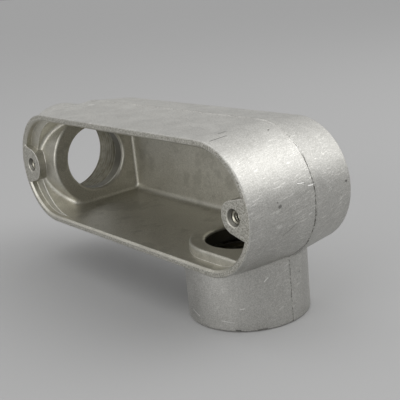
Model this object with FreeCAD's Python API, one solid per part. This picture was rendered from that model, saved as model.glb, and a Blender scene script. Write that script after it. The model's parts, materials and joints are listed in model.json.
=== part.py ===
"""Conduit body of the LR pattern for 1 1/4 inch conduit: one aluminium casting.

The casting is an oblong box with round ends, open on one long side for a
cover.  One threaded hub leaves it at an end and one at a side, each with a
flat pad and a rounded integral bushing inside.  Two bosses take the cover
screws.

Frame: +X towards the closed end, the opening faces -Y, the side hub points
down (-Z) and the end hub points to -X.  The origin is the centre of the side
hub's mouth.  All lengths are millimetres.
"""
import FreeCAD, Part
import math
import os
from FreeCAD import Vector

NODE = "conduit_body"

# Box: the outside
RIM_HALF_WIDTH = 26.0        # half the width at the open rim, and the radius of the round ends there
ROUND_CENTRE_SPAN = 116.0    # between the centres of the two round ends
FRONT_DEPTH = 31.0           # from the rim back to the parting line
BACK_DEPTH = 22.4            # from the parting line to the flat back
FRONT_DRAFT = 1.7            # how much the half width gains from rim to parting line
BACK_DRAFT = 2.3             # how much it loses from parting line to back
BACK_EDGE_BREAK = 1.3        # bevel round the flat back
RIM_EDGE_BREAK = 0.35
FLASH_HEIGHT = 0.22          # the ground-down flash that stands on the parting line
FLASH_WIDTH = 0.6

# Box: the cavity
RIM_WALL = 2.8
BACK_WALL = 4.0
CAVITY_DRAFT = 0.9           # how much the cavity's half width loses from rim to floor
CAVITY_FLOOR_RADIUS = 3.2
SHOULDER_DEPTH = 3.2         # ledge round the hub's end of the cavity, below the rim
SHOULDER_WIDTH = 7.6         # how far the end wall below the ledge stands in front of the one above
CAVITY_MOUTH_BREAK = 0.8     # bevel along the rim's inner edge

# Hubs: both are alike
HUB_RADIUS = 24.8
HUB_LENGTH = 31.0            # from the mouth to the pad inside the box
HUB_BEHIND_RIM = 2.4         # the hub's nearest side lies this far behind the rim
HUB_EDGE_BREAK = 0.6
PAD_FOOT_RADIUS = 1.6        # where the end hub's pad meets the back wall
THREAD_ROOT_RADIUS = 20.7    # 1 1/4 - 11.5 NPT, measured at the thread's root
THREAD_LENGTH = 24.0
THREAD_CHAMFER = 1.0
THROAT_RADIUS = 15.6
THROAT_LIP_RADIUS = 1.4
END_PAD_OVERLAP = 0.2        # the end hub's pad is this much wider than the cavity's half width
SIDE_PAD_RADIUS = 22.0       # boss round the side hub's throat
PAD_EDGE_RADIUS = 1.1
SIDE_PAD_HEIGHT = 3.6        # side hub's pad above the cavity wall it stands on
SIDE_HUB_INSET = 9.6         # side hub's axis, short of the closed end's round centre
END_PAD_SET_BACK = 0.5       # end hub's pad, beyond the other round centre

# Cover screws
SCREW_INSET = 8.6            # from the rim's end to the screw's axis
CLOSED_END_BOSS_RADIUS = 6.3
HUB_END_BOSS_RADIUS = 8.0
BOSS_FLARE = 14.0            # degrees by which each side of a boss spreads towards the end wall
SCREW_HOLE_RADIUS = 2.4      # 10-24 UNC, measured at the thread's root
SCREW_COUNTERSINK = 1.2
SCREW_DEPTH = 15.0
SCREW_FLOOR = 1.3            # metal left between the hub end's screw hole and the hub's bore

# What follows from them
PARTING_HALF_WIDTH = RIM_HALF_WIDTH + FRONT_DRAFT
BACK_HALF_WIDTH = PARTING_HALF_WIDTH - BACK_DRAFT
BODY_DEPTH = FRONT_DEPTH + BACK_DEPTH
CAVITY_HALF_WIDTH = RIM_HALF_WIDTH - RIM_WALL
CAVITY_DEPTH = BODY_DEPTH - BACK_WALL
HUB_AXIS_DEPTH = HUB_BEHIND_RIM + HUB_RADIUS
END_PAD_RADIUS = CAVITY_HALF_WIDTH + END_PAD_OVERLAP
CAVITY_HALF_AT_HUBS = CAVITY_HALF_WIDTH - CAVITY_DRAFT * HUB_AXIS_DEPTH / CAVITY_DEPTH
SIDE_PAD_DROP = CAVITY_HALF_AT_HUBS - SIDE_PAD_HEIGHT
SIDE_MOUTH_DROP = SIDE_PAD_DROP + HUB_LENGTH
END_PAD_X = -ROUND_CENTRE_SPAN - END_PAD_SET_BACK
END_MOUTH_X = END_PAD_X - HUB_LENGTH
CLOSED_END_SCREW_X = RIM_HALF_WIDTH - SCREW_INSET
HUB_END_SCREW_X = -ROUND_CENTRE_SPAN - RIM_HALF_WIDTH + SCREW_INSET
HUB_END_SCREW_DEPTH = HUB_AXIS_DEPTH - THREAD_ROOT_RADIUS - SCREW_FLOOR
CLEAR = 1.0                  # how far cutting tools run past a face

# The casting is drawn with its rim at y = 0 and the closed end's round centre
# at x = z = 0, and is then moved to the frame given above.
TO_FRAME = Vector(SIDE_HUB_INSET, -HUB_AXIS_DEPTH, SIDE_MOUTH_DROP)
X_AXIS = Vector(1, 0, 0)
Y_AXIS = Vector(0, 1, 0)
Z_AXIS = Vector(0, 0, 1)


def rounded_face(corners):
    """A flat face from (point, radius) corners, each corner an arc of its radius."""
    starts, ends, edges = [], [], []
    count = len(corners)
    for index, (point, radius) in enumerate(corners):
        before = (corners[index - 1][0] - point).normalize()
        after = (corners[(index + 1) % count][0] - point).normalize()
        half_angle = before.getAngle(after) / 2
        reach = radius / math.tan(half_angle)
        starts.append(point + before * reach)
        ends.append(point + after * reach)
        if radius > 0:
            bisector = (before + after).normalize()
            middle = point + bisector * (radius / math.sin(half_angle) - radius)
            edges.append(Part.Arc(starts[-1], middle, ends[-1]).toShape())
    for index in range(count):
        following = (index + 1) % count
        if ends[index].distanceToPoint(starts[following]) > 1e-6:
            edges.append(Part.makeLine(ends[index], starts[following]))
    return Part.Face(Part.Wire(Part.__sortEdges__(edges)))


def edges_at(shape, points):
    """The edges of the shape that pass nearest to the points, each taken once."""
    chosen = []
    for point in points:
        vertex = Part.Vertex(point)
        nearest = min(shape.Edges, key=lambda edge: edge.distToShape(vertex)[0])
        if not any(nearest.isSame(edge) for edge in chosen):
            chosen.append(nearest)
    return chosen


def oblong_solid(profile, centre_span=ROUND_CENTRE_SPAN):
    """Sweeps a half section round an oblong: (half width, depth, corner radius) points.

    The points run from the centre plane out and back to it, and the section is
    turned half round at each end and drawn straight between the ends' centres.
    """
    upper = rounded_face([(Vector(0, depth, half), radius) for half, depth, radius in profile])
    lower = upper.mirror(Vector(0, 0, 0), Z_AXIS)
    closed_end = upper.revolve(Vector(0, 0, 0), Y_AXIS, 180)
    hub_end = lower.revolve(Vector(0, 0, 0), Y_AXIS, 180)
    span = X_AXIS * -centre_span
    hub_end.translate(span)
    straights = [upper.extrude(span), lower.extrude(span)]
    return closed_end.fuse([hub_end] + straights).removeSplitter()


def wall_at(depth):
    """The cavity's half width at a depth below the rim."""
    return CAVITY_HALF_WIDTH - CAVITY_DRAFT * depth / CAVITY_DEPTH


def outside_at(depth):
    """The box's half width at a depth below the rim."""
    if depth < FRONT_DEPTH:
        return RIM_HALF_WIDTH + FRONT_DRAFT * depth / FRONT_DEPTH
    return PARTING_HALF_WIDTH - BACK_DRAFT * (depth - FRONT_DEPTH) / BACK_DEPTH


def box_outside():
    """The drafted outside of the box, widest at the parting line."""
    return oblong_solid([
        (0, 0, 0),
        (RIM_HALF_WIDTH - RIM_EDGE_BREAK, 0, 0),
        (outside_at(RIM_EDGE_BREAK), RIM_EDGE_BREAK, 0),
        (PARTING_HALF_WIDTH, FRONT_DEPTH, 0),
        (outside_at(BODY_DEPTH - BACK_EDGE_BREAK), BODY_DEPTH - BACK_EDGE_BREAK, 0),
        (BACK_HALF_WIDTH - BACK_EDGE_BREAK, BODY_DEPTH, 0),
        (0, BODY_DEPTH, 0),
    ])


def box_flash():
    """A low ridge round the box where the halves of the mould met."""
    core = PARTING_HALF_WIDTH - RIM_WALL / 2
    band = oblong_solid([
        (0, FRONT_DEPTH - FLASH_WIDTH / 2, 0),
        (outside_at(FRONT_DEPTH - FLASH_WIDTH / 2), FRONT_DEPTH - FLASH_WIDTH / 2, 0),
        (PARTING_HALF_WIDTH + FLASH_HEIGHT, FRONT_DEPTH, 0),
        (outside_at(FRONT_DEPTH + FLASH_WIDTH / 2), FRONT_DEPTH + FLASH_WIDTH / 2, 0),
        (0, FRONT_DEPTH + FLASH_WIDTH / 2, 0),
    ])
    hollow = oblong_solid([
        (0, 0, 0),
        (core, 0, 0),
        (core, BODY_DEPTH, 0),
        (0, BODY_DEPTH, 0),
    ])
    return band.cut(hollow)


def turned(profile):
    """Turns (radius, height, corner radius) points about Z."""
    section = rounded_face([(Vector(radius, 0, height), corner) for radius, height, corner in profile])
    return section.revolve(Vector(0, 0, 0), Z_AXIS, 360)


def hub_barrel():
    """The outside of a hub, standing on its mouth at the origin, up to its pad."""
    return turned([
        (0, 0, 0),
        (HUB_RADIUS - HUB_EDGE_BREAK, 0, 0),
        (HUB_RADIUS, HUB_EDGE_BREAK, 0),
        (HUB_RADIUS, HUB_LENGTH, 0),
        (0, HUB_LENGTH, 0),
    ])


def hub_flash():
    """Two low ridges along the barrel, in the plane where the mould's halves met."""
    foot = HUB_RADIUS - FLASH_WIDTH
    slope = (FLASH_HEIGHT + FLASH_WIDTH) / FLASH_HEIGHT
    ridge = rounded_face([
        (Vector(foot, -slope * FLASH_WIDTH / 2, HUB_EDGE_BREAK), 0),
        (Vector(HUB_RADIUS + FLASH_HEIGHT, 0, HUB_EDGE_BREAK), 0),
        (Vector(foot, slope * FLASH_WIDTH / 2, HUB_EDGE_BREAK), 0),
    ]).extrude(Z_AXIS * (HUB_LENGTH - HUB_EDGE_BREAK))
    return ridge.fuse(ridge.mirror(Vector(0, 0, 0), X_AXIS))


def hub_bore():
    """What a hub's bore takes away: the thread's bore, its stop and the rounded throat."""
    mouth = THREAD_ROOT_RADIUS + THREAD_CHAMFER
    flare = THROAT_RADIUS + THROAT_LIP_RADIUS
    return turned([
        (0, -CLEAR, 0),
        (mouth, -CLEAR, 0),
        (mouth, 0, 0),
        (THREAD_ROOT_RADIUS, THREAD_CHAMFER, 0),
        (THREAD_ROOT_RADIUS, THREAD_LENGTH, 0),
        (THROAT_RADIUS, THREAD_LENGTH, 0),
        (THROAT_RADIUS, HUB_LENGTH, THROAT_LIP_RADIUS),
        (flare, HUB_LENGTH, 0),
        (flare, HUB_LENGTH + CLEAR, 0),
        (0, HUB_LENGTH + CLEAR, 0),
    ])


def at_side_hub(shape):
    """Places a shape drawn about a hub's mouth at the side hub."""
    placed = shape.copy()
    placed.translate(Vector(-SIDE_HUB_INSET, HUB_AXIS_DEPTH, -SIDE_MOUTH_DROP))
    return placed


def at_end_hub(shape):
    """Places a shape drawn about a hub's mouth at the end hub."""
    placed = shape.copy()
    placed.rotate(Vector(0, 0, 0), Y_AXIS, 90)
    placed.translate(Vector(END_MOUTH_X, HUB_AXIS_DEPTH, 0))
    return placed


def box_cavity():
    """The space of the box before its pads and bosses, with a ledge at the hub's end."""
    mouth = CAVITY_HALF_WIDTH + CAVITY_MOUTH_BREAK
    opening = [
        (0, -CLEAR, 0),
        (mouth, -CLEAR, 0),
        (mouth, 0, 0),
        (wall_at(CAVITY_MOUTH_BREAK), CAVITY_MOUTH_BREAK, 0),
    ]
    above_ledge = oblong_solid(opening + [
        (wall_at(SHOULDER_DEPTH), SHOULDER_DEPTH, 0),
        (0, SHOULDER_DEPTH, 0),
    ])
    full_depth = oblong_solid(opening + [
        (CAVITY_HALF_WIDTH - CAVITY_DRAFT, CAVITY_DEPTH, CAVITY_FLOOR_RADIUS),
        (0, CAVITY_DEPTH, 0),
    ], ROUND_CENTRE_SPAN - SHOULDER_WIDTH)
    return above_ledge.fuse(full_depth).removeSplitter()


def round_flat_outline(solid, normal, level):
    """Rounds every edge of the solid's flat face that lies at this level along the normal."""
    edges = []
    for edge in solid.Edges:
        heights = [vertex.Point.dot(normal) for vertex in edge.Vertexes]
        if all(abs(height - level) < 1e-6 for height in heights):
            edges.append(edge)
    return solid.makeFillet(PAD_EDGE_RADIUS, edges)


def end_pad():
    """Boss behind the end hub's pad: round towards the opening, straight to the back wall."""
    near = HUB_AXIS_DEPTH - END_PAD_RADIUS
    outline = rounded_face([
        (Vector(END_PAD_X, near, -END_PAD_RADIUS), END_PAD_RADIUS),
        (Vector(END_PAD_X, near, END_PAD_RADIUS), END_PAD_RADIUS),
        (Vector(END_PAD_X, BODY_DEPTH, END_PAD_RADIUS), 0),
        (Vector(END_PAD_X, BODY_DEPTH, -END_PAD_RADIUS), 0),
    ])
    solid = outline.extrude(X_AXIS * -(2 * RIM_HALF_WIDTH))
    return round_flat_outline(solid, X_AXIS, END_PAD_X)


def side_pad():
    """Boss under the side hub's pad: one round corner, straight to the end and back walls."""
    left = -SIDE_HUB_INSET - SIDE_PAD_RADIUS
    near = HUB_AXIS_DEPTH - SIDE_PAD_RADIUS
    right = 2 * RIM_HALF_WIDTH
    outline = rounded_face([
        (Vector(left, near, -SIDE_PAD_DROP), SIDE_PAD_RADIUS),
        (Vector(right, near, -SIDE_PAD_DROP), 0),
        (Vector(right, BODY_DEPTH, -SIDE_PAD_DROP), 0),
        (Vector(left, BODY_DEPTH, -SIDE_PAD_DROP), 0),
    ])
    solid = outline.extrude(Z_AXIS * -RIM_HALF_WIDTH)
    return round_flat_outline(solid, Z_AXIS, -SIDE_PAD_DROP)


def screw_boss(axis_x, radius, outwards):
    """A boss from the rim to the back wall: round inwards, spreading out to the end wall."""
    flare = math.radians(BOSS_FLARE)
    tip = axis_x - outwards * radius
    far = axis_x + outwards * RIM_HALF_WIDTH
    shoulder = radius * math.tan((math.pi / 2 - flare) / 2)
    spread = shoulder + (RIM_HALF_WIDTH + radius) * math.tan(flare)
    outline = rounded_face([
        (Vector(tip, 0, -shoulder), radius),
        (Vector(tip, 0, shoulder), radius),
        (Vector(far, 0, spread), 0),
        (Vector(far, 0, -spread), 0),
    ])
    return outline.extrude(Y_AXIS * BODY_DEPTH)


def cavity():
    """The inside of the casting: the box's cavity less the pads and bosses."""
    space = box_cavity().cut([end_pad(), side_pad()])
    foot = edges_at(space, [Vector(END_PAD_X, CAVITY_DEPTH, 0)])
    space = space.makeFillet(PAD_FOOT_RADIUS, foot)
    return space.cut([
        screw_boss(CLOSED_END_SCREW_X, CLOSED_END_BOSS_RADIUS, 1),
        screw_boss(HUB_END_SCREW_X, HUB_END_BOSS_RADIUS, -1),
    ])


def screw_hole(axis_x, depth):
    """A blind hole for a cover screw, countersunk at the rim."""
    mouth = SCREW_HOLE_RADIUS + SCREW_COUNTERSINK
    hole = turned([
        (0, -CLEAR, 0),
        (mouth, -CLEAR, 0),
        (mouth, 0, 0),
        (SCREW_HOLE_RADIUS, SCREW_COUNTERSINK, 0),
        (SCREW_HOLE_RADIUS, depth, 0),
        (0, depth, 0),
    ])
    hole.rotate(Vector(0, 0, 0), X_AXIS, -90)
    hole.translate(Vector(axis_x, 0, 0))
    return hole


def casting():
    """The whole conduit body in its own frame."""
    outside = box_outside().fuse([at_side_hub(hub_barrel()), at_end_hub(hub_barrel())])
    flash = [box_flash(), at_side_hub(hub_flash()), at_end_hub(hub_flash())]
    solid = outside.fuse(flash)
    solid = solid.cut([
        cavity(),
        at_side_hub(hub_bore()),
        at_end_hub(hub_bore()),
        screw_hole(CLOSED_END_SCREW_X, SCREW_DEPTH),
        screw_hole(HUB_END_SCREW_X, HUB_END_SCREW_DEPTH),
    ])
    solid = solid.removeSplitter()
    solid.translate(TO_FRAME)
    return solid.Solids[0]


def cavity_volume():
    """What the closed cavity holds behind the rim, in cubic centimetres."""
    length = 2 * (ROUND_CENTRE_SPAN + 2 * RIM_HALF_WIDTH)
    behind_rim = Part.makeBox(length, BODY_DEPTH, length, Vector(-length, 0, -length / 2))
    behind_rim.translate(X_AXIS * (length / 2))
    return cavity().common(behind_rim).Volume / 1000


def main():
    """Builds the casting and writes it to parts/."""
    os.makedirs("parts", exist_ok=True)
    shape = casting()
    shape.exportStep(f"parts/{NODE}.step")
    print(f"{NODE}: {shape.Volume / 1000:.1f} cm3 of metal, valid {shape.isValid()}")
    print(f"cavity holds {cavity_volume():.0f} cm3")


if __name__ == "__main__":
    main()
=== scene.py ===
"""Looks of a cast aluminium conduit body of the LR pattern, dressed over its solid.

The casting is the CAD node, which gets its finish here.  What is too fine for
the solid is added round it: the pipe threads in the hubs, the screw threads in
the bosses, the small cast fillets where the hubs leave the box, and the steps
where the box's parting line runs over into the hubs'.

Frame: +X towards the closed end, the opening faces -Y, the side hub points down
(-Z) and the end hub to -X.  The origin is the centre of the side hub's mouth.
All lengths are metres.
"""
import json
import logging
import math
from dataclasses import dataclass
from enum import Enum
from typing import Callable, ClassVar, Mapping, Sequence

import bmesh
import bpy
import numpy as np
from mathutils import Matrix, Vector


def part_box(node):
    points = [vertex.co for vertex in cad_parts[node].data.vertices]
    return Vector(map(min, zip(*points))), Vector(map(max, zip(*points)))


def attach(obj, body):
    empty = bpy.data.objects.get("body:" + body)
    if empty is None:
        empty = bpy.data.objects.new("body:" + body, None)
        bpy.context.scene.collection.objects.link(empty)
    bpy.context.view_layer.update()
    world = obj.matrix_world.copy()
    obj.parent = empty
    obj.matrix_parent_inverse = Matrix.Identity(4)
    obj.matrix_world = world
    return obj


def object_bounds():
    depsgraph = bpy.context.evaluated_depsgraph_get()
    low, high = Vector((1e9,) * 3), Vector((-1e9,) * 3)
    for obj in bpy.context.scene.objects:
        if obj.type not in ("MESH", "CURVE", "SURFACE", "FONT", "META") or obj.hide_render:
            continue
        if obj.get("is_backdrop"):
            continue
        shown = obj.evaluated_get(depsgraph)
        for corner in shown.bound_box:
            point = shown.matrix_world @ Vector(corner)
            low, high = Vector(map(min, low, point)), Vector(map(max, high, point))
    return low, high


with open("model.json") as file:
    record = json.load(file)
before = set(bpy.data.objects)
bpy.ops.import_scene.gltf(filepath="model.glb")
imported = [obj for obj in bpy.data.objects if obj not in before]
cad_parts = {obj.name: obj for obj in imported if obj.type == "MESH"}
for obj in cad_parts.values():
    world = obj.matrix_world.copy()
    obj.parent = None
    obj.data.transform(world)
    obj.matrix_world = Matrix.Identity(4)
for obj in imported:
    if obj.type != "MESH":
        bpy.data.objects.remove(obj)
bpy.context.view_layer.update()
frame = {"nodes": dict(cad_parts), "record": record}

BODY = "root"
CASTING_NODE = "conduit_body"
MM = 0.001
INCH = 0.0254
WELD_DISTANCE = 1e-7  # points nearer than this are made one
BEVEL_SAMPLES = 8
EDGE_COSINES = (0.995, 0.90)  # between the true and the softened direction, flat to a full edge
MARK_CORE = 0.35  # the share of a mark's width that shows in full
Span = tuple[float, float]
Triple = tuple[float, float, float]
Material = bpy.types.Material
Weights = tuple[float, ...]
LOG = logging.getLogger("conduit_body")


# ---- Shader arithmetic ----

def math_method(operation: str, text: str, swapped: bool = False) -> Callable[..., "Signal"]:
    """A method of Signal that adds one Math node to its tree.

    Args:
        operation: The node's operation.
        text: The method's docstring.
        swapped: Whether self comes after the other value.

    Returns:
        The method, which gives the node's result.
    """
    def method(self: "Signal", *others: "Signal | float") -> "Signal":
        values = (*others, self) if swapped else (self, *others)
        settings, inputs = {"operation": operation}, dict(enumerate(values))
        return self.sheet.add("ShaderNodeMath", settings, inputs, "Value")

    method.__doc__ = text
    return method


@dataclass(frozen=True, eq=False)
class Signal:
    """An output socket of a sheet, with arithmetic that adds Math nodes to the sheet."""

    sheet: "ShaderSheet"
    socket: bpy.types.NodeSocket

    __add__ = __radd__ = math_method("ADD", "Self plus other.")
    __sub__ = math_method("SUBTRACT", "Self less other.")
    __rsub__ = math_method("SUBTRACT", "Other less self.", swapped=True)
    __mul__ = __rmul__ = math_method("MULTIPLY", "Self times other.")
    __truediv__ = math_method("DIVIDE", "Self over other.")
    abs = math_method("ABSOLUTE", "The size of self without its sign.")
    at_least = math_method("MAXIMUM", "The larger of self and other.")
    at_most = math_method("MINIMUM", "The smaller of self and other.")
    sqrt = math_method("SQRT", "The square root of self.")

    def rise(self, start: float, end: float) -> "Signal":
        """A smooth step of self.

        Args:
            start: Where the result is 0.
            end: Where the result is 1; it may be below start.

        Returns:
            A signal from 0 to 1.
        """
        settings = {"interpolation_type": "SMOOTHSTEP", "clamp": True}
        inputs = {"Value": self, "From Min": start, "From Max": end}
        if start > end:
            inputs = {"Value": self, "From Min": end, "From Max": start,
                      "To Min": 1.0, "To Max": 0.0}
        return self.sheet.add("ShaderNodeMapRange", settings, inputs, "Result")


class ShaderSheet:
    """The nodes of a material or of the world."""

    def __init__(self, owner: "Material | bpy.types.World") -> None:
        """Clears the owner's nodes.

        Args:
            owner: The material or world.
        """
        owner.use_nodes = True
        self.owner = owner
        self.tree = owner.node_tree
        self.tree.nodes.clear()

    @classmethod
    def for_material(cls, name: str) -> "ShaderSheet":
        """The empty sheet of a new material."""
        return cls(bpy.data.materials.new(name))

    def add(self, kind: str, settings: Mapping[str, object], inputs: Mapping[object, object],
            output: str) -> Signal:
        """Adds a node.

        Args:
            kind: The node's type.
            settings: Its properties, set before its sockets.
            inputs: Values or signals by the name or number of a socket.
            output: The name of the output that is wanted.

        Returns:
            The wanted output.
        """
        node = self.tree.nodes.new(kind)
        for key, value in settings.items():
            setattr(node, key, value)
        for key, value in inputs.items():
            if isinstance(value, Signal):
                self.tree.links.new(value.socket, node.inputs[key])
            else:
                node.inputs[key].default_value = value
        shown = [socket for socket in node.outputs if socket.name == output and socket.enabled]
        return Signal(self, shown[0])

    def place(self) -> Signal:
        """The object coordinates, in metres."""
        return self.add("ShaderNodeTexCoord", {}, {}, "Object")

    def split(self, vector: Signal) -> tuple[Signal, Signal, Signal]:
        """The x, y and z of a vector."""
        node = self.add("ShaderNodeSeparateXYZ", {}, {"Vector": vector}, "X").socket.node
        return tuple(Signal(self, node.outputs[name]) for name in ("X", "Y", "Z"))

    def vector(self, operation: str, *values: object, output: str = "Vector") -> Signal:
        """The result of one Vector Math node; its output is "Value" where that is a number."""
        inputs = dict(enumerate(values))
        return self.add("ShaderNodeVectorMath", {"operation": operation}, inputs, output)

    def laid_along(self, vector: Signal, turn: Triple, scale: Triple) -> Signal:
        """A vector turned and then stretched, which lays a pattern along a direction.

        Args:
            vector: The vector.
            turn: Degrees about X, Y and Z.
            scale: A factor for each part; a small one draws the pattern out that way.

        Returns:
            The new vector.
        """
        inputs = {"Vector": vector, "Rotation": tuple(math.radians(angle) for angle in turn)}
        turned = self.add("ShaderNodeMapping", {"vector_type": "POINT"}, inputs, "Vector")
        return self.vector("MULTIPLY", turned, scale)

    def stroke(self, place: Signal, mark: "Mark") -> Signal:
        """How much of a mark shows: 1 on its line and 0 beyond its width.

        The distance to the stroke is |p - a - t (b - a)|, with t = (p - a).(b - a) / |b - a|^2
        held between 0 and 1.

        Args:
            place: The object coordinates.
            mark: The mark.

        Returns:
            The mark's mask.
        """
        start, run = Vector(mark.start) * MM, (Vector(mark.end) - Vector(mark.start)) * MM
        from_start = self.vector("SUBTRACT", place, start)
        share = self.vector("DOT_PRODUCT", from_start, run, output="Value") / run.length_squared
        share = share.at_least(0.0).at_most(1.0)
        shares = self.add("ShaderNodeCombineXYZ", {}, dict.fromkeys("XYZ", share), "Vector")
        from_nearest = self.vector("SUBTRACT", from_start, self.vector("MULTIPLY", shares, run))
        distance = self.vector("LENGTH", from_nearest, output="Value")
        return distance.rise(mark.width * MM, mark.width * MM * MARK_CORE)

    def noise(self, vector: Signal, blots: "Blots") -> Signal:
        """Fractal noise.

        Args:
            vector: Where to read it, in metres.
            blots: Its blots.

        Returns:
            A signal round 0.5.
        """
        inputs = {"Vector": vector, "Scale": 1.0 / blots.size, "Detail": blots.detail,
                  "Roughness": blots.rough, "Distortion": blots.distortion}
        return self.add("ShaderNodeTexNoise", {"noise_dimensions": "3D"}, inputs, "Fac")

    def blotches(self, vector: Signal, blots: "Blots") -> Signal:
        """The mask of a noise's blots, from 0 to 1."""
        return self.noise(vector, blots).rise(*blots.span)

    def blend(self, factor: "Signal | float", first: object, second: object) -> Signal:
        """A mix of two colours: the first where the factor is 0, the second where it is 1."""
        # the node has A and B once for each type of value: 6 and 7 are the colours'
        inputs = {0: factor, 6: first, 7: second}
        return self.add("ShaderNodeMix", {"data_type": "RGBA"}, inputs, "Result")

    def soft_normal(self, radius: float) -> Signal:
        """The surface's direction with its sharp edges rounded over to a radius."""
        return self.add("ShaderNodeBevel", {"samples": BEVEL_SAMPLES}, {"Radius": radius}, "Normal")

    def sharp_edge_mask(self, soft: Signal) -> Signal:
        """1 on sharp edges and 0 on the flat: how far the rounded direction leaves the true one."""
        true = self.add("ShaderNodeNewGeometry", {}, {}, "Normal")
        return self.vector("DOT_PRODUCT", soft, true, output="Value").rise(*EDGE_COSINES)

    def finish_metal(self, color: Signal, roughness: Signal, height: Signal, depth: float,
                     soft: Signal) -> Material:
        """Closes the sheet with a metal surface.

        Args:
            color: The base colour.
            roughness: The roughness.
            height: The relief, from about 0 to 1.
            depth: How deep a relief of 1 is, in metres.
            soft: The direction that the relief stands on.

        Returns:
            The finished material.
        """
        relief = {"Strength": 1.0, "Distance": depth, "Height": height, "Normal": soft}
        normal = self.add("ShaderNodeBump", {}, relief, "Normal")
        inputs = {"Base Color": color, "Roughness": roughness, "Metallic": 1.0, "Normal": normal}
        surface = self.add("ShaderNodeBsdfPrincipled", {}, inputs, "BSDF")
        self.add_output(surface, "ShaderNodeOutputMaterial")
        return self.owner

    def add_output(self, surface: Signal, kind: str) -> None:
        """Joins a shader to an output node of a kind."""
        output = self.tree.nodes.new(kind)
        self.tree.links.new(surface.socket, output.inputs["Surface"])


def grey(level: float, warmth: float = 0.0) -> tuple[float, float, float, float]:
    """A grey of a linear level; warmth is the share blue loses, and red gains a quarter of it."""
    return (level * (1 + warmth / 4), level, level * (1 - warmth), 1.0)


# ---- The casting's shape ----

@dataclass(frozen=True)
class BoxShape:
    """The drafted oblong box: where its outer walls stand."""

    rim_half_width: float = 26.0 * MM
    front_depth: float = 31.0 * MM
    back_depth: float = 22.4 * MM
    front_draft: float = 1.7 * MM
    back_draft: float = 2.3 * MM
    rim_wall: float = 2.8 * MM
    hub_radius: float = 24.8 * MM
    hub_length: float = 31.0 * MM
    pad_set_back: float = 0.5 * MM
    flash_height: float = 0.22 * MM

    @property
    def rim_y(self) -> float:
        """The plane of the dressed rim."""
        return mount_place("cover_seat").y

    @property
    def centre_z(self) -> float:
        """The height of the box's centre line."""
        return mount_place("cover_seat").z

    @property
    def back_y(self) -> float:
        """The plane of the flat back."""
        return self.parting_y + self.back_depth

    @property
    def parting_y(self) -> float:
        """The plane in which the halves of the mould met round the box."""
        return self.rim_y + self.front_depth

    @property
    def closed_centre_x(self) -> float:
        """The centre of the closed end's round."""
        reach = self.rim_half_width + self.front_draft + self.flash_height
        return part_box(CASTING_NODE)[1].x - reach

    @property
    def hub_end_centre_x(self) -> float:
        """The centre of the round at the end hub's end."""
        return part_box(CASTING_NODE)[0].x + self.hub_length + self.pad_set_back

    def outer_half(self, y: np.ndarray) -> np.ndarray:
        """Half the box's width at y: two straight drafts that meet at the parting plane."""
        front = self.rim_half_width + self.front_draft * (y - self.rim_y) / self.front_depth
        back = (self.rim_half_width + self.front_draft
                - self.back_draft * (y - self.parting_y) / self.back_depth)
        return np.minimum(front, back)


def mount(name: str) -> Mapping[str, object]:
    """One of the record's mounts, as the record holds it."""
    return next(entry for entry in frame["record"]["mounts"] if entry["name"] == name)


def mount_place(name: str) -> Vector:
    """The place of one of the record's mounts."""
    return Vector(mount(name)["pos_m"])


def mount_dim(name: str, dim: str) -> float:
    """A size of one of the record's mounts, in metres; its name ends in _mm."""
    return mount(name)["dims"][dim] * MM


# ---- Meshes ----

def grid_faces(rows: int, columns: int, closed_rows: bool, closed_columns: bool) -> np.ndarray:
    """The quads of a grid of points.

    Vertex (i, j) has number i * columns + j, and each quad joins (i, j), (i, j + 1),
    (i + 1, j + 1) and (i + 1, j), wrapping round where a direction is closed.

    Args:
        rows: Points along the first direction.
        columns: Points along the second direction.
        closed_rows: Whether the last row joins the first.
        closed_columns: Whether the last column joins the first.

    Returns:
        An array of four vertex numbers a quad.
    """
    row = np.arange(rows if closed_rows else rows - 1)[:, None]
    column = np.arange(columns if closed_columns else columns - 1)[None, :]
    next_row = (row + 1) % rows
    next_column = (column + 1) % columns
    corners = [row * columns + column, row * columns + next_column,
               next_row * columns + next_column, next_row * columns + column]
    return np.stack(np.broadcast_arrays(*corners), axis=-1).reshape(-1, 4)


def make_piece(name: str, points: np.ndarray, faces: np.ndarray, material: Material,
               smooth_angle: float) -> bpy.types.Object:
    """Makes one piece of the casting, lets it ride on the body and gives it its finish.

    Args:
        name: The piece's name.
        points: Its vertices, one row each.
        faces: Its faces, one row of vertex numbers each.
        material: Its finish.
        smooth_angle: Edges sharper than this many degrees stay sharp.

    Returns:
        The piece.
    """
    mesh = bpy.data.meshes.new(name)
    mesh.from_pydata(points.reshape(-1, 3), [], faces.tolist())
    cleaned = bmesh.new()
    cleaned.from_mesh(mesh)
    bmesh.ops.remove_doubles(cleaned, verts=cleaned.verts, dist=WELD_DISTANCE)
    cleaned.to_mesh(mesh)
    cleaned.free()
    mesh.shade_smooth()
    mesh.set_sharp_from_angle(angle=math.radians(smooth_angle))
    mesh.materials.append(material)
    piece = bpy.data.objects.new(name, mesh)
    bpy.context.scene.collection.objects.link(piece)
    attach(piece, BODY)
    LOG.info("%s: %d faces", name, len(mesh.polygons))
    return piece


def axes_about(axis: Vector) -> tuple[np.ndarray, np.ndarray, np.ndarray]:
    """An axis and two directions square to it, right-handed.

    Args:
        axis: The axis, of length 1 and along X, Y or Z.

    Returns:
        The axis, and the two directions with first x second = axis.
    """
    along = np.array(axis)
    first = np.roll(np.abs(along), 1)
    second = np.cross(along, first)
    return along, first, second


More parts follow.
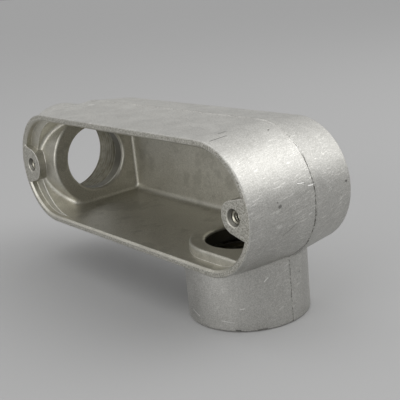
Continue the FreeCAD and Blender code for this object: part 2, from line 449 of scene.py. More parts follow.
@dataclass(frozen=True)
class Surface:
    """A piece of the casting whose surface is a grid of points."""

    joined: ClassVar[tuple[bool, bool]] = (False, True)  # whether its rows and columns close
    smooth_angle: ClassVar[float] = 40.0

    name: str

    def points(self) -> np.ndarray:
        """The grid: rows, columns and the three parts of each point."""
        raise NotImplementedError

    def faces(self, points: np.ndarray) -> np.ndarray:
        """The quads between the grid's points."""
        return grid_faces(*points.shape[:2], *self.joined)

    def build(self, material: Material) -> bpy.types.Object:
        """Makes the piece, with its finish."""
        points = self.points()
        return make_piece(self.name, points, self.faces(points), material, self.smooth_angle)


@dataclass(frozen=True)
class InnerThread(Surface):
    """A right-handed thread cut inside a straight bore, as one ridge wound round it."""

    smooth_angle: ClassVar[float] = 25.0

    mouth: Vector  # centre of the bore's mouth
    inwards: Vector  # direction into the bore
    root_radius: float
    pitch: float
    height: float  # of the ridge at the thread's inner end
    start: float  # from the mouth to the ridge's first full turn
    length: float
    taper: float = 0.0  # how much the crest's radius shrinks for each metre of depth
    steps_a_turn: int = 64
    sunk: float = 0.06 * MM  # of the ridge's foot in the bore's wall
    half_foot: float = 0.46  # of the pitch
    half_crest: float = 0.09  # of the pitch
    fade_power: float = 0.6  # below 1 the ridge's ends rise fast

    def points(self) -> np.ndarray:
        """The ridge: at each angle a flat-topped profile stands on the bore's wall and moves on by
        one pitch a turn, and its height fades to nothing over the first and last half turn.
        """
        turns = self.length / self.pitch
        angle = np.linspace(0, 2 * math.pi * turns, int(turns * self.steps_a_turn))
        depth = self.start + self.pitch * angle / (2 * math.pi)
        ends = np.minimum(angle, angle[-1] - angle) / math.pi
        fade = np.clip(ends, 0.0, 1.0) ** self.fade_power
        full = self.height - self.taper * (self.start + self.length - depth)
        height = full * fade
        foot_side = self.half_foot * self.pitch * fade
        crest_side = self.half_crest * self.pitch * fade
        along = np.stack([-foot_side, -crest_side, crest_side, foot_side], axis=1) + depth[:, None]
        foot = np.full_like(height, self.root_radius + self.sunk)
        crest = self.root_radius - height
        radius = np.stack([foot, crest, crest, foot], axis=1)
        axis, first, second = axes_about(self.inwards)
        turn = angle[:, None, None]
        outwards = np.cos(turn) * first + np.sin(turn) * second
        return np.array(self.mouth) + along[..., None] * axis + radius[..., None] * outwards


class HubRoot(Enum):
    """Which hub a fillet runs round."""

    SIDE = "side_hub_root"
    END = "end_hub_root"


@dataclass(frozen=True)
class CastFillet(Surface):
    """A small fillet between a hub's barrel and the box wall that it leaves."""

    joined: ClassVar[tuple[bool, bool]] = (True, False)

    hub: HubRoot
    shape: BoxShape
    size: float  # how far it reaches along each wall
    steps_round: int = 192
    steps_across: int = 8
    lift: float = 0.01 * MM  # keeps the fillet's edges just clear of the walls

    def barrel_point(self, angle: np.ndarray, radius: np.ndarray, along: np.ndarray) -> np.ndarray:
        """A point at an angle and radius about the barrel's axis; along is measured on the axis
        from the hub's end of the box's centre lines, away from the box."""
        across, out = radius * np.sin(angle), radius * np.cos(angle)
        if self.hub is HubRoot.SIDE:
            return np.stack([out, across, -along], axis=-1)
        return np.stack([-along, -out, self.shape.centre_z + across], axis=-1)

    def wall_along(self, angle: np.ndarray, radius: np.ndarray) -> np.ndarray:
        """Where the wall lies on the axis at that angle and radius: the drafted wall's half width
        w gives a straight stretch at w and a round end at sqrt(w^2 - offset^2)."""
        across, out = radius * np.sin(angle), radius * np.cos(angle)
        if self.hub is HubRoot.SIDE:
            past = np.maximum(out - self.shape.closed_centre_x, 0.0)
            return np.sqrt(self.shape.outer_half(across) ** 2 - past ** 2) - self.shape.centre_z
        rounded = np.sqrt(self.shape.outer_half(-out) ** 2 - across ** 2)
        return rounded - self.shape.hub_end_centre_x

    def points(self) -> np.ndarray:
        """The fillet: at each angle a parabola leaves the barrel a size above the corner and
        meets the wall a size beside it: (1-t)^2 a + 2 t (1-t) corner + t^2 b."""
        angle = np.linspace(0, 2 * math.pi, self.steps_round, endpoint=False)
        barrel = np.full_like(angle, self.shape.hub_radius)
        corner_along = self.wall_along(angle, barrel)
        step = np.linspace(0, 1, self.steps_across)[None, :, None]
        lifted = barrel + self.lift
        on_barrel = self.barrel_point(angle, lifted, corner_along + self.size)
        corner = self.barrel_point(angle, lifted, corner_along + self.lift)
        beside = barrel + self.size
        on_wall = self.barrel_point(angle, beside, self.wall_along(angle, beside) + self.lift)
        return ((1 - step) ** 2 * on_barrel[:, None] + 2 * step * (1 - step) * corner[:, None]
                + step ** 2 * on_wall[:, None])

    def faces(self, points: np.ndarray) -> np.ndarray:
        """The quads, in the other order round the end hub."""
        faces = super().faces(points)
        return faces[:, ::-1] if self.hub is HubRoot.END else faces


@dataclass(frozen=True)
class PartingStep(Surface):
    """The stretch of flash that runs over the box's wall from a hub's parting line to the box's."""

    shape: BoxShape
    start: Triple  # at the hub: centre x, turn in degrees, y
    end: Triple  # at the box's own parting line
    height: float = 0.2 * MM
    half_width: float = 0.35 * MM
    sunk: float = 0.15 * MM  # how deep the foot lies in the wall
    steps: int = 40

    def wall_point(self, centre_x: np.ndarray, turn: np.ndarray, y: np.ndarray) -> np.ndarray:
        """A point on the wall of the box: the centre line's point plus the half width at y in
        the direction of turn, which is 0 towards the closed end and 90 degrees upwards."""
        reach = self.shape.outer_half(y)
        return np.stack([centre_x + reach * np.cos(turn), y,
                         self.shape.centre_z + reach * np.sin(turn)], axis=-1)

    def points(self) -> np.ndarray:
        """The ridge: the path goes evenly from start to end in centre x, turn and y; across it
        stands a triangle whose foot is sunk in the wall.  The ridge is open at its two ends."""
        share = np.linspace(0, 1, self.steps)[:, None]
        start, end = (np.array([x, math.radians(turn), y]) for x, turn, y in (self.start, self.end))
        centre_x, turn, y = (start + share * (end - start)).T
        path = self.wall_point(centre_x, turn, y)
        forward = np.gradient(path, axis=0)
        forward /= np.linalg.norm(forward, axis=1, keepdims=True)
        outwards = np.stack([np.cos(turn), np.zeros_like(turn), np.sin(turn)], axis=-1)
        aside = np.cross(forward, outwards)
        aside /= np.linalg.norm(aside, axis=1, keepdims=True)
        stand = np.array([-self.sunk, self.height, -self.sunk])[None, :, None]
        foot = self.half_width * (1 + self.sunk / self.height)
        spread = np.array([-foot, 0.0, foot])[None, :, None]
        return path[:, None] + stand * outwards[:, None] + spread * aside[:, None]


# ---- Finishes ----

@dataclass(frozen=True)
class Mark:
    """A scratch, nick or pit: a short stroke on the surface, in millimetres."""

    start: Triple
    end: Triple
    width: float
    bright: bool  # True: bare bright metal with a painted glint; False: dirt with painted shadow
    strength: float = 1.0


MARKS = (
    # bright marks are bare metal with a painted glint; dark marks are dirt with the painted shadow
    # of dents
    # top and its round shoulder
    Mark((15.0, -24.8, 75.7), (15.0, -16.9, 76.1), 0.30, False, 0.9),
    Mark((11.2, -17.2, 76.6), (11.2, -14.0, 76.8), 0.55, False, 0.6),
    Mark((19.9, -1.1, 75.5), (19.9, -0.9, 75.5), 0.50, False),
    Mark((-99.9, -4.4, 77.5), (-97.7, -3.3, 77.6), 0.80, True),
    Mark((-62.6, -27.0, 76.4), (-61.4, -27.0, 76.4), 0.60, True),
    # closed end
    Mark((35.7, -3.4, 58.3), (35.9, -0.6, 57.9), 0.30, True, 0.7),
    Mark((35.8, -1.2, 57.5), (35.9, -0.3, 57.4), 0.28, False, 0.7),
    Mark((36.3, 1.2, 56.5), (36.5, 4.1, 56.4), 0.34, True, 0.85),
    Mark((36.5, 2.6, 57.1), (36.6, 4.0, 57.0), 0.26, False, 0.8),
    Mark((36.8, 0.6, 46.0), (36.9, 1.6, 46.3), 0.36, True, 0.7),
    Mark((36.2, -8.2, 54.8), (36.2, -6.0, 55.5), 0.22, True, 0.45),
    Mark((36.3, -13.5, 52.1), (36.2, -13.0, 52.3), 0.85, False, 0.7),
    Mark((36.1, -14.2, 53.9), (36.1, -14.0, 53.8), 0.45, False, 0.6),
    Mark((34.8, -11.5, 40.5), (36.0, -5.4, 44.0), 0.24, False, 0.45),
    Mark((35.3, -25.2, 45.8), (35.7, -21.2, 46.1), 0.22, True, 0.30),
    Mark((31.45, 3.8, 33.05), (28.35, 1.95, 29.75), 0.36, False, 0.8),
    Mark((28.35, 1.95, 29.75), (24.9, 0.1, 27.0), 0.36, False, 0.8),
    Mark((35.2, 22.2, 52.9), (35.2, 22.5, 52.9), 0.60, False, 0.9),
    # side hub
    Mark((-6.1, -24.0, 5.3), (-1.4, -24.8, 4.0), 0.34, True, 0.9),
    Mark((22.9, -9.4, 21.2), (22.4, -10.8, 19.9), 0.32, True, 0.8),
    Mark((-2.5, -24.7, 15.0), (8.4, -23.3, 16.8), 0.28, True, 0.35),
    Mark((16.4, -18.6, 9.6), (17.5, -17.6, 9.8), 0.30, True, 0.7),
    Mark((9.8, -22.8, 4.5), (14.2, -20.3, 4.0), 0.26, True, 0.5),
    Mark((24.1, 5.6, 19.1), (24.0, 6.0, 19.2), 0.40, False, 0.6),
    Mark((14.5, -20.0, 0.9), (15.9, -19.0, 0.8), 0.45, False, 0.8),
    Mark((20.4, -14.0, 0.7), (22.2, -10.9, 0.8), 0.35, False, 0.6),
)


@dataclass(frozen=True)
class Blots:
    """A fractal noise."""

    size: float  # of its largest blots, in metres
    detail: float = 3.0  # octaves
    rough: float = 0.55  # how strong the finer octaves are
    distortion: float = 0.0  # how far it is swirled
    span: Span = (0.0, 1.0)  # its smooth step, where it is a mask


@dataclass(frozen=True)
class Coat:
    """A grey laid over the metal where a mask asks for it."""

    strength: float  # how much it covers where the mask is 1
    level: float
    warmth: float

    def over(self, color: Signal, mask: Signal) -> Signal:
        """A colour with the coat over it where the mask is above 0."""
        return color.sheet.blend(mask * self.strength, color, grey(self.level, self.warmth))


@dataclass(frozen=True)
class Stripe:
    """A soft line that runs along a plane."""

    beside: float  # how far behind the plane its middle lies
    span: Span  # its half widths, faded out and full

    def on(self, from_plane: Signal) -> Signal:
        """The stripe's mask, from the distance behind the plane."""
        return (from_plane - self.beside).abs().rise(*self.span)


def weigh(signals: Sequence[Signal], weights: Sequence[float]) -> Signal:
    """The sum of signals, each times its weight."""
    return sum(signal * weight for signal, weight in zip(signals, weights))


@dataclass(frozen=True)
class CastGround:
    """What the casting's finish is worked out from."""

    sheet: ShaderSheet
    place: Signal
    x: Signal
    y: Signal
    z: Signal
    rim: Signal  # 1 on the dressed rim
    inside: Signal  # 1 in the cavity
    soft: Signal  # the surface's direction, with softened edges
    edge: Signal  # 1 on sharp edges
    cloud: Signal
    patch: Signal
    grain: Signal
    fine: Signal
    pores: Signal


@dataclass(frozen=True)
class CastAluminium:
    """Bare die-cast aluminium: satin, finely grained and specked, with a dressed rim.

    A Span is the two values between which a smooth step goes from 0 to 1.  Weights are in the
    order in which their method names its signals.
    """

    shape: BoxShape
    edge_radius: float = 0.45 * MM
    depth: float = 0.045 * MM  # of a relief of 1

    cloud: Blots = Blots(16 * MM, 3.0, 0.5, 0.3)
    patch: Blots = Blots(5 * MM, 3.0, 0.6)
    grain: Blots = Blots(0.50 * MM, 3.0, 0.8)
    fine: Blots = Blots(0.25 * MM, 2.0, 0.7)
    pores: Blots = Blots(1.1 * MM, 3.0, 0.75)

    # cast skin: greys as level and warmth
    tone_weights: Weights = (0.45, 0.35, 2.2, 1.2)
    outer_greys: tuple[Span, Span] = ((0.4056, 0.06), (0.6344, 0.048))
    inner_greys: tuple[Span, Span] = ((0.456, 0.13), (0.684, 0.10))
    speck_pores: Span = (0.66, 0.72)
    speck_patch: Span = (0.40, 0.58)
    speck: Coat = Coat(0.55, 0.14, 0.15)
    stain_weights: Weights = (0.6, 0.4)
    stain_span: Span = (0.50, 0.62)
    stain: Coat = Coat(0.35, 0.2565, 0.18)

    # scuffs on the closed end, and rubs everywhere
    closed_end: Span = (12 * MM, 30 * MM)
    scuff_turn: Triple = (-13.0, 0.0, 0.0)
    scuff_stretch: Triple = (1.0, 0.11, 1.0)
    scuffs: Blots = Blots(0.55 * MM, 2.0, 0.55, span=(0.57, 0.66))
    scuff_patch: Span = (0.38, 0.56)
    drawing: Blots = Blots(0.8 * MM, 3.0, 0.7)
    drawn_span: Span = (0.02, 0.16)
    drawn: Coat = Coat(0.20, 0.286, 0.10)
    rub_turn: Triple = (0.0, 24.0, 0.0)
    rub_stretch: Triple = (0.08, 1.0, 1.0)
    rubs: Blots = Blots(0.40 * MM, 2.0, 0.5, span=(0.66, 0.72))
    rub_patch: Span = (0.50, 0.62)
    rub_share: float = 0.6
    scratched: Coat = Coat(0.42, 0.86, 0.05)

    # dressed rim
    behind_rim: Span = (0.03 * MM, 0.10 * MM)
    sand_stretch: Triple = (0.16, 1.0, 1.0)
    sanding: Blots = Blots(0.5 * MM, 3.0, 0.7)
    rim_specks: Blots = Blots(0.65 * MM, 3.0, 0.8, span=(0.38, 0.64))
    rim_greys: tuple[Span, Span] = ((0.638, 0.08), (0.29, 0.16))

    # painted shade in the bores and countersinks
    bore_radius: float = 20.8 * MM
    throat_radius: float = 16.6 * MM
    bore_short: Span = (1.6 * MM, 2.0 * MM)  # how far short of the pad the painted shade ends
    bore_feather: float = 0.3 * MM
    bore_shade_weights: Weights = (0.45, 0.42)
    bore_shade: Coat = Coat(1.0, 0.1026, 0.25)
    sink_radius: Span = (3.35 * MM, 3.25 * MM)  # of the countersinks' inner part, where shade is painted
    sink_floor: Span = (1.8 * MM, 1.5 * MM)
    # painted shade in the countersinks
    sunk: Coat = Coat(0.85, 0.114, 0.12)

    # edges: brightened for wear and as a painted highlight, and darkened by chips
    wear_highlight_least: float = 0.35
    wear_highlight_patch: Span = (0.35, 0.65)
    wear_and_highlight: Coat = Coat(0.85, 0.86, 0.06)
    chip_pores: Span = (0.52, 0.61)
    chipped: Coat = Coat(0.7, 0.112, 0.15)

    # dark lines beside the flash
    box_stripe: Stripe = Stripe(-0.30 * MM, (0.22 * MM, 0.088 * MM))
    thin_stripe: Stripe = Stripe(0.62 * MM, (0.132 * MM, 0.044 * MM))
    thin_fade: Span = (60 * MM, 54 * MM)
    thin_share: float = 0.7
    hub_stripe: Stripe = Stripe(0.28 * MM, (0.352 * MM, 0.198 * MM))
    hub_wander: float = 0.5  # the share of the box line's wander
    wall_short: float = 0.4 * MM  # how far inside the widest wall the line is full
    leave_box: Span = (0.8 * MM, 1.2 * MM)
    above_jog: Span = (31.5 * MM, 34.0 * MM)
    beside_jog: Span = (4.0 * MM, -4.0 * MM)
    line_wander: float = 0.5 * MM
    line_pores: Span = (0.44, 0.54)
    line_fade: Span = (62 * MM, 75 * MM)
    line_fade_by: float = 0.85
    lined: Coat = Coat(0.85, 0.07, 0.20)

    # marks: dirt with painted shadow, and bare metal with painted glints
    mark_grain: Span = (0.25, 0.55)
    dirt_and_shadow: Coat = Coat(1.0, 0.07, 0.10)
    bare_and_glint: Coat = Coat(1.0, 0.86, 0.03)

    # relief and roughness
    cast_relief: Weights = (0.55, 0.35, 0.3, -0.6, -0.6)
    rim_relief: Weights = (0.5, -0.7)
    laid_relief: Weights = (-0.8, -1.2)
    cast_rough: float = 0.47
    cast_rough_weights: Weights = (0.20, 0.16, -0.16)
    rim_rough: float = 0.42
    rim_rough_sanded: float = 0.18
    laid_rough: Weights = (-0.12, -0.08)

    def rim_mask(self, y: Signal) -> Signal:
        """1 on the dressed rim's plane and 0 behind it."""
        start, end = self.behind_rim
        return (y - self.shape.rim_y).rise(end, start)

    def spine_distance(self, x: Signal, z: Signal) -> Signal:
        """The distance to the box's centre line, an upright sheet between the rounds' centres."""
        shape = self.shape
        middle = (shape.closed_centre_x + shape.hub_end_centre_x) / 2
        half_span = (shape.closed_centre_x - shape.hub_end_centre_x) / 2
        past = ((x - middle).abs() - half_span).at_least(0.0)
        off = z - shape.centre_z
        return (past * past + off * off).sqrt()

    def inside_mask(self, x: Signal, y: Signal, z: Signal) -> Signal:
        """1 inside the cavity and 0 on the outer walls, told apart by the middle of the wall."""
        shape = self.shape
        edge, feather = shape.rim_half_width - shape.rim_wall / 2, 0.3 * MM
        within = self.spine_distance(x, z).rise(edge + feather, edge - feather)
        return within * y.rise(shape.back_y - 1.5 * MM, shape.back_y - 2.5 * MM)

    def parting_line(self, at: CastGround) -> Signal:
        """1 on the dirt lines beside the flash: on the box at its parting plane, and on the hubs,
        outside the box, at the plane of their axes.  They are broken by pores and fade upwards."""
        spine = self.spine_distance(at.x, at.z)
        widest = self.shape.rim_half_width + self.shape.front_draft
        leave_start, leave_end = (widest + beyond for beyond in self.leave_box)
        on_box = spine.rise(self.shape.rim_half_width, widest - self.wall_short)
        on_box = on_box * spine.rise(leave_end, leave_start)
        on_box = on_box * at.z.rise(*self.above_jog).at_least(at.x.rise(*self.beside_jog))
        wander = (at.patch - 0.5) * self.line_wander
        behind_parting = at.y + wander - self.shape.parting_y
        thin = self.thin_stripe.on(behind_parting) * at.z.rise(*self.thin_fade) * self.thin_share
        box_line = self.box_stripe.on(behind_parting).at_least(thin) * on_box
        hub_line = self.hub_stripe.on(at.y + wander * self.hub_wander)
        line = box_line.at_least(hub_line * spine.rise(leave_start, leave_end))
        line = line * at.pores.rise(*self.line_pores)
        return line * (1.0 - at.z.rise(*self.line_fade) * self.line_fade_by)

    def bore_mask(self, at: CastGround, radius: float) -> Signal:
        """1 within a radius of either hub's axis, from its mouth up to just short of its pad."""
        reach, full = (self.shape.hub_length - short for short in self.bore_short)
        low_x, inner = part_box(CASTING_NODE)[0].x, radius - self.bore_feather
        off_z = at.z - self.shape.centre_z
        side = (at.x * at.x + at.y * at.y).sqrt().rise(radius, inner)
        end = (off_z * off_z + at.y * at.y).sqrt().rise(radius, inner)
        end = end * at.x.rise(low_x + reach, low_x + full)
        return (side * at.z.rise(reach, full)).at_least(end)

    def sink_shade_mask(self, at: CastGround) -> Signal:
        """1 in the inner part of the two screw holes' countersinks."""
        middle = mount_place("cover_screws")
        from_axis = (at.x - middle.x).abs() - mount_dim("cover_screws", "spacing_x_mm") / 2
        off_z = at.z - middle.z
        distance = (from_axis * from_axis + off_z * off_z).sqrt()
        depth = at.y - self.shape.rim_y
        deep = depth.rise(*self.behind_rim) * depth.rise(*self.sink_floor)
        return distance.rise(*self.sink_radius) * deep

    def ground(self, sheet: ShaderSheet) -> CastGround:
        """Places, masks and noises.

        Args:
            sheet: The material's sheet.

        Returns:
            What the finish is worked out from.
        """
        place = sheet.place()
        x, y, z = sheet.split(place)
        soft = sheet.soft_normal(self.edge_radius)
        noises = [sheet.noise(place, blots)
                  for blots in (self.cloud, self.patch, self.grain, self.fine, self.pores)]
        return CastGround(sheet, place, x, y, z, self.rim_mask(y), self.inside_mask(x, y, z),
                          soft, sheet.sharp_edge_mask(soft), *noises)

    def cast_skin(self, at: CastGround) -> Signal:
        """The cast surface's colour: between two greys outside and two warmer ones in the cavity
        by tone = 0.5 + the sum of weight * (noise - 0.5), with specks, and stains inside."""
        swings = [noise - 0.5 for noise in (at.cloud, at.patch, at.grain, at.fine)]
        tone = (weigh(swings, self.tone_weights) + 0.5).rise(0.0, 1.0)
        outer, inner = (at.sheet.blend(tone, grey(*dark), grey(*light))
                        for dark, light in (self.outer_greys, self.inner_greys))
        color = at.sheet.blend(at.inside, outer, inner)
        speck = at.pores.rise(*self.speck_pores) * at.patch.rise(*self.speck_patch)
        color = self.speck.over(color, speck)
        stain = weigh((at.cloud, at.patch), self.stain_weights).rise(*self.stain_span)
        return self.stain.over(color, stain * at.inside)

    def scuffing(self, at: CastGround) -> tuple[Signal, Signal]:
        """The wear of the cast surface.

        Args:
            at: What the finish is worked out from.

        Returns:
            The bright scratches' mask, and the drawn relief round 0 on the closed end.
        """
        sheet, off_rim = at.sheet, 1.0 - at.rim
        closed_end = at.x.rise(*self.closed_end) * off_rim
        lengthwise = sheet.laid_along(at.place, self.scuff_turn, self.scuff_stretch)
        scuff = sheet.blotches(lengthwise, self.scuffs) * at.patch.rise(*self.scuff_patch)
        drawn = (sheet.noise(lengthwise, self.drawing) - 0.5) * closed_end
        across = sheet.laid_along(at.place, self.rub_turn, self.rub_stretch)
        rub = sheet.blotches(across, self.rubs) * at.patch.rise(*self.rub_patch)
        return (scuff * closed_end).at_least(rub * off_rim * self.rub_share), drawn

    def marks(self, at: CastGround) -> tuple[Signal, Signal]:
        """The single marks.

        Args:
            at: What the finish is worked out from.

        Returns:
            The masks of the dirty and of the bright ones.
        """
        dark_mark_mask, bare_and_glint = 0.0, 0.0
        for mark in MARKS:
            shown = at.sheet.stroke(at.place, mark) * mark.strength
            if mark.bright:
                bare_and_glint = shown.at_least(bare_and_glint)
            else:
                dark_mark_mask = (shown * at.grain.rise(*self.mark_grain)).at_least(dark_mark_mask)
        return dark_mark_mask, bare_and_glint

    def build(self, name: str) -> Material:
        """Makes the finish.

        Args:
            name: The material's name.

        Returns:
            The material.
        """
        at = self.ground(ShaderSheet.for_material(name))
        sheet, rim, off_rim = at.sheet, at.rim, 1.0 - at.rim

        scratch, drawn = self.scuffing(at)
        color = self.drawn.over(self.cast_skin(at), drawn.rise(*self.drawn_span))
        color = self.scratched.over(color, scratch)

        sanded = sheet.noise(sheet.vector("MULTIPLY", at.place, self.sand_stretch), self.sanding)
        rim_speck = sheet.blotches(at.place, self.rim_specks)
        rim_light, rim_dark = self.rim_greys
        color = sheet.blend(rim, color, sheet.blend(rim_speck, grey(*rim_light), grey(*rim_dark)))

        # painted shade: the hubs' bores, most of all in their throats, and the countersinks' inner
        # part are darkened
        bore, throat = self.bore_mask(at, self.bore_radius), self.bore_mask(at, self.throat_radius)
        color = self.bore_shade.over(color, weigh((bore, throat), self.bore_shade_weights))
        color = self.sunk.over(color, self.sink_shade_mask(at))

        # edges, concave ones too, are brightened for wear and as a painted highlight; pores chip
        # them dark
        open_edge = at.edge * (1.0 - bore)
        patchy = at.patch.rise(*self.wear_highlight_patch) * (1 - self.wear_highlight_least) + self.wear_highlight_least
        wear_and_highlight = open_edge * patchy
        color = self.wear_and_highlight.over(color, wear_and_highlight)
        chipped = open_edge * at.pores.rise(*self.chip_pores) * (1.0 - at.inside)
        color = self.chipped.over(color, chipped)

        line = self.parting_line(at)
        # dark marks are dirt with painted shadow, bright ones bare metal with painted glints
        dark_mark_mask, bare_and_glint = self.marks(at)
        color = self.lined.over(color, line)
        color = self.bare_and_glint.over(self.dirt_and_shadow.over(color, dark_mark_mask), bare_and_glint)

        cast_height = weigh((at.grain, at.fine, at.pores, scratch, drawn), self.cast_relief)
        height = cast_height * off_rim + weigh((sanded, rim_speck), self.rim_relief) * rim
        height = height + weigh((line, dark_mark_mask + bare_and_glint), self.laid_relief)
        swings = (at.patch - 0.5, at.grain - 0.5, wear_and_highlight)
        cast_rough = self.cast_rough + weigh(swings, self.cast_rough_weights)
        rim_rough = self.rim_rough + sanded * self.rim_rough_sanded
        roughness = cast_rough * off_rim + rim_rough * rim
        roughness = roughness + weigh((bare_and_glint, scratch), self.laid_rough)
        return sheet.finish_metal(color, roughness, height, self.depth, at.soft)


@dataclass(frozen=True)
class CutThread:
    """Machined aluminium in a thread: smoother than the casting, dulled in its grooves."""

    groove: Span = (0.322, 0.20)  # level and warmth
    flank: Span = (0.46, 0.14)
    smears: Blots = Blots(3.0 * MM)
    smear_span: Span = (0.35, 0.7)
    chatter: Blots = Blots(0.3 * MM, 2.0)
    depth: float = 0.015 * MM
    roughness: float = 0.32
    rough_swing: float = 0.2
    edge_radius: float = 0.1 * MM

    def build(self, name: str) -> Material:
        """Makes the finish.

        Args:
            name: The material's name.

        Returns:
            The material.
        """
        sheet = ShaderSheet.for_material(name)
        place = sheet.place()
        smear, chatter = sheet.noise(place, self.smears), sheet.noise(place, self.chatter)
        color = sheet.blend(smear.rise(*self.smear_span), grey(*self.groove), grey(*self.flank))
        roughness = self.roughness + (smear - 0.5) * self.rough_swing
        soft = sheet.soft_normal(self.edge_radius)
        return sheet.finish_metal(color, roughness, chatter, self.depth, soft)


@dataclass(frozen=True)
class PalePaper:
    """The studio's matt pale floor."""

    level: float = 0.41
    darkest: float = 0.985  # of the level, between its fibres
    fibres: Blots = Blots(1.5 * MM)
    roughness: float = 0.9
    sheen: float = 0.1

    def build(self, name: str) -> Material:
        """Makes the finish.

        Args:
            name: The material's name.

        Returns:
            The material.
        """
        sheet = ShaderSheet.for_material(name)
        fibre = sheet.noise(sheet.place(), self.fibres)
        color = sheet.blend(fibre, grey(self.level * self.darkest), grey(self.level))
        inputs = {"Base Color": color, "Roughness": self.roughness,
                  "Specular IOR Level": self.sheen}
        surface = sheet.add("ShaderNodeBsdfPrincipled", {}, inputs, "BSDF")
        sheet.add_output(surface, "ShaderNodeOutputMaterial")
        return sheet.owner


# ---- Studio ----

@dataclass(frozen=True)
class SoftLight:
    """A square lamp that looks at the part."""

    name: str
    azimuth: float  # degrees round the part, as the camera's
    elevation: float
    distance: float
    side: float
    power: float

    def build(self, target: Vector) -> None:
        """Hangs the lamp.

        Args:
            target: What it looks at.
        """
        lamp = bpy.data.lights.new(self.name, "AREA")
        lamp.shape = "SQUARE"
        lamp.size = self.side
        lamp.energy = self.power
        holder = bpy.data.objects.new(self.name, lamp)
        back = direction(self.azimuth, self.elevation)
        holder.location = target + back * self.distance
        holder.rotation_mode = "QUATERNION"
        holder.rotation_quaternion = (-back).to_track_quat("-Z", "Y")
        bpy.context.scene.collection.objects.link(holder)
        LOG.info("lamp %s: %.2f W", self.name, self.power)


def direction(azimuth: float, elevation: float) -> Vector:
    """The direction, in degrees, from the part to a viewer: azimuth 0 is -Y and 90 is +X."""
    a, e = math.radians(azimuth), math.radians(elevation)
    return Vector((math.sin(a) * math.cos(e), -math.cos(a) * math.cos(e), math.sin(e)))


@dataclass(frozen=True)
class Camera:
    """The camera."""

    target: Vector = Vector((-30.0, 2.8, 39.7)) * MM
    azimuth: float = 52.67
    elevation: float = 15.93
    roll: float = -5.69
    distance: float = 339.0 * MM
    lens: float = 71.4  # millimetres, and so is the sensor's width
    sensor: float = 36.0
    nearest: float = 10.0 * MM  # nothing nearer is shown

    def build(self) -> None:
        """Sets the camera up and makes it the scene's."""
        data = bpy.data.cameras.new("camera")
        data.lens = self.lens
        data.sensor_width = self.sensor
        data.clip_start = self.nearest
        holder = bpy.data.objects.new("camera", data)
        back = direction(self.azimuth, self.elevation)
        level_right = Vector((0, 0, 1)).cross(back).normalized()
        level_up = back.cross(level_right)
        turn = math.radians(self.roll)
        right = level_right * math.cos(turn) + level_up * math.sin(turn)
        up = level_up * math.cos(turn) - level_right * math.sin(turn)
        axes = Matrix((right, up, back)).transposed().to_4x4()
        holder.matrix_world = Matrix.Translation(self.target + back * self.distance) @ axes
        bpy.context.scene.collection.objects.link(holder)
        bpy.context.scene.camera = holder
        LOG.info("camera: %.1f mm lens", self.lens)


@dataclass(frozen=True)
class Studio:
    """Pale floor, soft lamps and surroundings that brighten upwards."""

    paper: PalePaper = PalePaper()
    horizon_level: float = 0.29  # of the surroundings, level with the part
    ceiling_level: float = 1.10  # and straight above it
    brightening: Span = (0.08, 0.96)  # sines of elevation between which they change
    floor_half: float = 12.0
    lights: tuple[SoftLight, ...] = (
        SoftLight("key", 138.0, 38.0, 1.0, 0.90, 3.8),
        SoftLight("front", 2.0, 12.0, 1.2, 0.8, 4.6),
    )

    def floor(self) -> None:
        """Lays the floor at the part's lowest point."""
        half, low = self.floor_half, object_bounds()[0].z
        points = [(-half, -half, low), (half, -half, low), (half, half, low), (-half, half, low)]
        mesh = bpy.data.meshes.new("floor")
        mesh.from_pydata(points, [], [(0, 1, 2, 3)])
        mesh.materials.append(self.paper.build("pale_paper"))
        floor = bpy.data.objects.new("floor", mesh)
        bpy.context.scene.collection.objects.link(floor)
        floor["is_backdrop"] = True
        LOG.info("floor at %.1f mm", low / MM)

    def surroundings(self) -> None:
        """Gives the scene pale surroundings that grow lighter from the horizon to the ceiling,
        smoothly with the sine of the elevation."""
        world = bpy.data.worlds.new("studio")
        sheet = ShaderSheet(world)
        _, _, height = sheet.split(sheet.add("ShaderNodeTexCoord", {}, {}, "Generated"))
        more = self.ceiling_level - self.horizon_level
        strength = self.horizon_level + height.rise(*self.brightening) * more
        inputs = {"Color": grey(1.0), "Strength": strength}
        background = sheet.add("ShaderNodeBackground", {}, inputs, "Background")
        sheet.add_output(background, "ShaderNodeOutputWorld")
        bpy.context.scene.world = world
        bpy.context.scene.view_settings.view_transform = "Standard"

    def build(self, target: Vector) -> None:
        """Sets the studio up.

        Args:
            target: What the lamps look at.
        """
        self.surroundings()
        self.floor()
        for light in self.lights:
            light.build(target)


# ---- The part ----

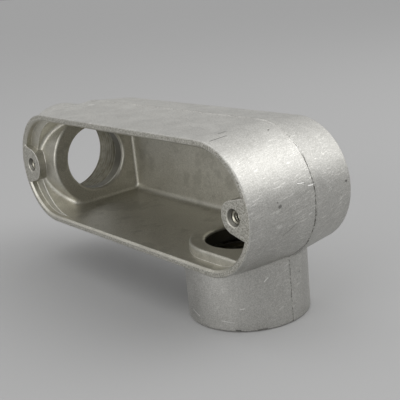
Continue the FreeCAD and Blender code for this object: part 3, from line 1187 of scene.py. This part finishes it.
@dataclass(frozen=True)
class ConduitBody:
    """The casting and what is added to it."""

    shape: BoxShape = BoxShape()
    pipe_pitch: float = INCH / 11.5
    screw_pitch: float = INCH / 24.0
    pipe_taper: float = 1.0 / 32.0  # of the crest's radius for each length
    pipe_height: float = 1.95 * MM
    pipe_start: float = 0.9 * MM
    pipe_length: float = 21.5 * MM
    screw_height: float = 0.6 * MM
    screw_start: float = 0.2 * MM
    screw_steps_a_turn: int = 28
    screw_sunk: float = 0.03 * MM
    screw_lengths: Span = (12.0 * MM, 2.8 * MM)  # closed end, hub end
    hub_fillet: float = 0.9 * MM
    left_step_run: float = 6.0 * MM  # how far from the side hub its left step ends

    def dress_casting(self, material: Material) -> None:
        """Gives the CAD node its finish."""
        for slot in frame["nodes"][CASTING_NODE].material_slots:
            slot.material = material

    def pipe_threads(self) -> list[InnerThread]:
        """The threads in the two hubs."""
        side, end = mount_place("side_hub"), mount_place("end_hub")
        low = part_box(CASTING_NODE)[0]
        mouths = {
            "side_hub_thread": (Vector((side.x, side.y, low.z)), Vector((0, 0, 1))),
            "end_hub_thread": (Vector((low.x, end.y, end.z)), Vector((1, 0, 0))),
        }
        return [InnerThread(name, mouth, inwards, mount_dim("side_hub", "r_mm"), self.pipe_pitch,
                            self.pipe_height, self.pipe_start, self.pipe_length, self.pipe_taper)
                for name, (mouth, inwards) in mouths.items()]

    def screw_threads(self) -> list[InnerThread]:
        """The threads in the two cover screw holes."""
        middle = mount_place("cover_screws")
        half = mount_dim("cover_screws", "spacing_x_mm") / 2
        radius = mount_dim("cover_screws", "hole_r_mm")
        closed_end, hub_end = self.screw_lengths
        holes = {"closed_end_screw_thread": (half, closed_end),
                 "hub_end_screw_thread": (-half, hub_end)}
        return [InnerThread(name, middle + Vector((offset, 0, 0)), Vector((0, 1, 0)), radius,
                            self.screw_pitch, self.screw_height, self.screw_start, length,
                            steps_a_turn=self.screw_steps_a_turn, sunk=self.screw_sunk)
                for name, (offset, length) in holes.items()]

    def fillets(self) -> list[CastFillet]:
        """The small fillets that the solid leaves sharp."""
        return [CastFillet(hub.value, hub, self.shape, self.hub_fillet) for hub in HubRoot]

    def parting_steps(self) -> list[PartingStep]:
        """The steps from the hubs' parting lines, in the plane of their axes, to the box's."""
        shape = self.shape
        near, far = mount_place("side_hub").y, shape.parting_y
        closed, hub_end = shape.closed_centre_x, shape.hub_end_centre_x
        left, left_end = -shape.hub_radius, -shape.hub_radius - self.left_step_run
        paths = {
            "side_hub_right_step": ((closed, -57.0, near), (closed, -38.0, far)),
            "side_hub_left_step": ((left, -90.0, near), (left_end, -90.0, far)),
            "end_hub_upper_step": ((hub_end, 116.0, near), (hub_end, 102.0, far)),
            "end_hub_lower_step": ((hub_end, 244.0, near), (hub_end, 258.0, far)),
        }
        return [PartingStep(name, shape, start, end) for name, (start, end) in paths.items()]

    def build(self) -> None:
        """Builds and dresses everything."""
        cast = CastAluminium(self.shape).build("cast_aluminium_looks")
        cut = CutThread().build("cut_thread")
        self.dress_casting(cast)
        LOG.info("%s: dressed", CASTING_NODE)
        for thread in self.pipe_threads() + self.screw_threads():
            thread.build(cut)
        for piece in self.fillets() + self.parting_steps():
            piece.build(cast)


def main() -> None:
    """Builds the part, the studio and the camera."""
    logging.basicConfig(level=logging.INFO, format="%(name)s: %(message)s")
    ConduitBody().build()
    low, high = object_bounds()
    Studio().build((low + high) / 2)
    Camera().build()


if __name__ == "__main__":
    main()
